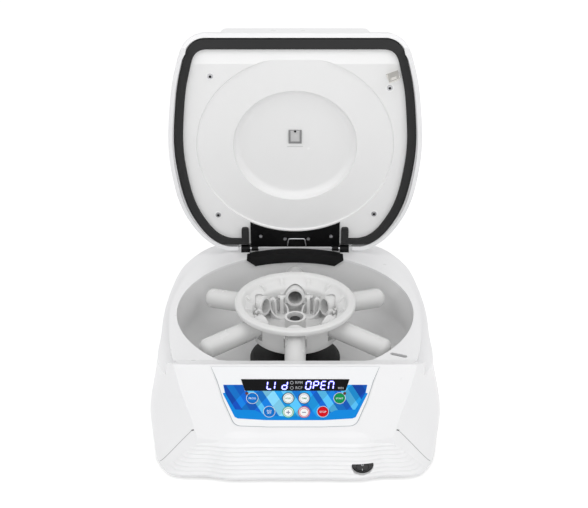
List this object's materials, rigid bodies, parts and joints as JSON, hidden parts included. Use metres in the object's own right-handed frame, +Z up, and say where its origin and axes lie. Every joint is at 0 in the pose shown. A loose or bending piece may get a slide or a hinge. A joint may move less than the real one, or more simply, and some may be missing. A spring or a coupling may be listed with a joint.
{
  "type": "platelet-rich fibrin centrifuge",
  "caption": "Bench centrifuge with an open hinged lid, a bowl rotor with swinging tube buckets, a sloping key panel and a ribbed skirt.",
  "frame": {"origin": "middle of the footprint at table height, below the feet", "axes": "+Z up, -Y towards the control panel at the front, +X to the right seen from the front"},
  "size_m": [0.3252, 0.3495, 0.4078],
  "materials": {
    "housing_shell": "moulded, smooth satin gloss",
    "base_pan": "powder coated",
    "chamber_bowl": "smooth pale coating",
    "rim_guard": "matt black rubber",
    "hinge_brackets": "black coating",
    "hinge_pins": "ground steel",
    "motor_boot": "matt black rubber",
    "motor": "painted motor can",
    "motor_plate": "zinc plated sheet",
    "motor_mounts": "soft rubber",
    "panel_insert": "printed insert",
    "display_window": "dark tinted window",
    "display_module": "digit module",
    "indicator_lamps": "unlit lamp",
    "control_board": "circuit board",
    "board_posts": "threaded posts",
    "switch_body": "moulded black",
    "lock_body": "moulded black",
    "mains_inlet": "moulded black",
    "inlet_pins": "plated contacts",
    "fuse_drawer": "moulded black",
    "power_supply": "folded sheet box",
    "feet": "soft rubber",
    "lid_shell": "moulded, smooth satin gloss",
    "lid_liner": "moulded, smooth satin gloss",
    "lid_gasket": "dark grey rubber",
    "lid_window": "grey square",
    "latch_hook": "nickel plated",
    "hinge_plate": "black coating",
    "hinge_spring": "bent wire",
    "hinge_screws": "small screws",
    "liner_screws": "small screws",
    "rotor_bowl": "pale grey moulding",
    "rotor_nut": "turned steel",
    "motor_shaft": "ground steel",
    "power_rocker": "moulded black",
    "lock_bolt": "ground steel",
    "tube_bucket_1": "pale satin moulding",
    "tube_bucket_2": "pale satin moulding",
    "tube_bucket_3": "pale satin moulding",
    "tube_bucket_4": "pale satin moulding",
    "tube_bucket_5": "pale satin moulding",
    "tube_bucket_6": "pale satin moulding",
    "key_1": "printed key cap",
    "key_2": "printed key cap",
    "key_3": "printed key cap",
    "key_4": "printed key cap",
    "key_5": "printed key cap",
    "key_6": "printed key cap",
    "key_7": "printed key cap",
    "key_8": "printed key cap"
  },
  "bodies": {
    "root": {"housing_shell": "housing_shell", "base_pan": "base_pan", "chamber_bowl": "chamber_bowl", "rim_guard": "rim_guard", "hinge_brackets": "hinge_brackets", "hinge_pins": "hinge_pins", "motor_boot": "motor_boot", "motor": "motor", "motor_plate": "motor_plate", "motor_mounts": "motor_mounts", "panel_insert": "panel_insert", "display_window": "display_window", "display_module": "display_module", "indicator_lamps": "indicator_lamps", "control_board": "control_board", "board_posts": "board_posts", "switch_body": "switch_body", "lock_body": "lock_body", "mains_inlet": "mains_inlet", "inlet_pins": "inlet_pins", "fuse_drawer": "fuse_drawer", "power_supply": "power_supply", "feet": "feet"},
    "lid": {"lid_shell": "lid_shell", "lid_liner": "lid_liner", "lid_gasket": "lid_gasket", "lid_window": "lid_window", "latch_hook": "latch_hook", "hinge_plate": "hinge_plate", "hinge_spring": "hinge_spring", "hinge_screws": "hinge_screws", "liner_screws": "liner_screws"},
    "rotor": {"rotor_bowl": "rotor_bowl", "rotor_nut": "rotor_nut", "motor_shaft": "motor_shaft"},
    "power_rocker": {"power_rocker": "power_rocker"},
    "lock_bolt": {"lock_bolt": "lock_bolt"},
    "tube_bucket_1": {"tube_bucket_1": "tube_bucket_1"},
    "tube_bucket_2": {"tube_bucket_2": "tube_bucket_2"},
    "tube_bucket_3": {"tube_bucket_3": "tube_bucket_3"},
    "tube_bucket_4": {"tube_bucket_4": "tube_bucket_4"},
    "tube_bucket_5": {"tube_bucket_5": "tube_bucket_5"},
    "tube_bucket_6": {"tube_bucket_6": "tube_bucket_6"},
    "key_1": {"key_1": "key_1"},
    "key_2": {"key_2": "key_2"},
    "key_3": {"key_3": "key_3"},
    "key_4": {"key_4": "key_4"},
    "key_5": {"key_5": "key_5"},
    "key_6": {"key_6": "key_6"},
    "key_7": {"key_7": "key_7"},
    "key_8": {"key_8": "key_8"}
  },
  "joints": [
    {"name": "lid_hinge", "type": "hinge", "parent": "root", "child": "lid", "pos_m": [0, 0.13305, 0.125], "axis": [1, 0, 0], "range_deg": [0, 83.2]},
    {"name": "rotor_spin", "type": "hinge", "parent": "root", "child": "rotor", "pos_m": [0, -0.00995, 0.1], "axis": [0, 0, 1], "continuous": true},
    {"name": "bucket_1_swing", "type": "hinge", "parent": "rotor", "child": "tube_bucket_1", "pos_m": [0.03594, 0.0108, 0.113], "axis": [0.5, -0.866, 0], "range_deg": [0, 5]},
    {"name": "bucket_2_swing", "type": "hinge", "parent": "rotor", "child": "tube_bucket_2", "pos_m": [0, 0.03155, 0.113], "axis": [1, 0, 0], "range_deg": [0, 5]},
    {"name": "bucket_3_swing", "type": "hinge", "parent": "rotor", "child": "tube_bucket_3", "pos_m": [-0.03594, 0.0108, 0.113], "axis": [0.5, 0.866, 0], "range_deg": [0, 5]},
    {"name": "bucket_4_swing", "type": "hinge", "parent": "rotor", "child": "tube_bucket_4", "pos_m": [-0.03594, -0.0307, 0.113], "axis": [-0.5, 0.866, 0], "range_deg": [0, 5]},
    {"name": "bucket_5_swing", "type": "hinge", "parent": "rotor", "child": "tube_bucket_5", "pos_m": [0, -0.05145, 0.113], "axis": [-1, 0, 0], "range_deg": [0, 5]},
    {"name": "bucket_6_swing", "type": "hinge", "parent": "rotor", "child": "tube_bucket_6", "pos_m": [0.03594, -0.0307, 0.113], "axis": [-0.5, -0.866, 0], "range_deg": [0, 5]},
    {"name": "key_1_press", "type": "slide", "parent": "root", "child": "key_1", "axis": [0, 0.9709, -0.2396], "range_m": [0, 0.0006], "stiffness_N_per_m": 800},
    {"name": "key_2_press", "type": "slide", "parent": "root", "child": "key_2", "axis": [0, 0.9709, -0.2396], "range_m": [0, 0.0006], "stiffness_N_per_m": 800},
    {"name": "key_3_press", "type": "slide", "parent": "root", "child": "key_3", "axis": [0, 0.9709, -0.2396], "range_m": [0, 0.0006], "stiffness_N_per_m": 800},
    {"name": "key_4_press", "type": "slide", "parent": "root", "child": "key_4", "axis": [0, 0.9709, -0.2396], "range_m": [0, 0.0006], "stiffness_N_per_m": 800},
    {"name": "key_5_press", "type": "slide", "parent": "root", "child": "key_5", "axis": [0, 0.9709, -0.2396], "range_m": [0, 0.0006], "stiffness_N_per_m": 800},
    {"name": "key_6_press", "type": "slide", "parent": "root", "child": "key_6", "axis": [0, 0.9709, -0.2396], "range_m": [0, 0.0006], "stiffness_N_per_m": 800},
    {"name": "key_7_press", "type": "slide", "parent": "root", "child": "key_7", "axis": [0, 0.9709, -0.2396], "range_m": [0, 0.0006], "stiffness_N_per_m": 800},
    {"name": "key_8_press", "type": "slide", "parent": "root", "child": "key_8", "axis": [0, 0.9709, -0.2396], "range_m": [0, 0.0006], "stiffness_N_per_m": 800},
    {"name": "rocker_tilt", "type": "hinge", "parent": "root", "child": "power_rocker", "pos_m": [0.0716, -0.16765, 0.0194], "axis": [1, 0, 0], "range_deg": [0, 12]},
    {"name": "bolt_slide", "type": "slide", "parent": "root", "child": "lock_bolt", "axis": [0.3778, 0.9259, 0], "range_m": [0, 0.005]}
  ]
}
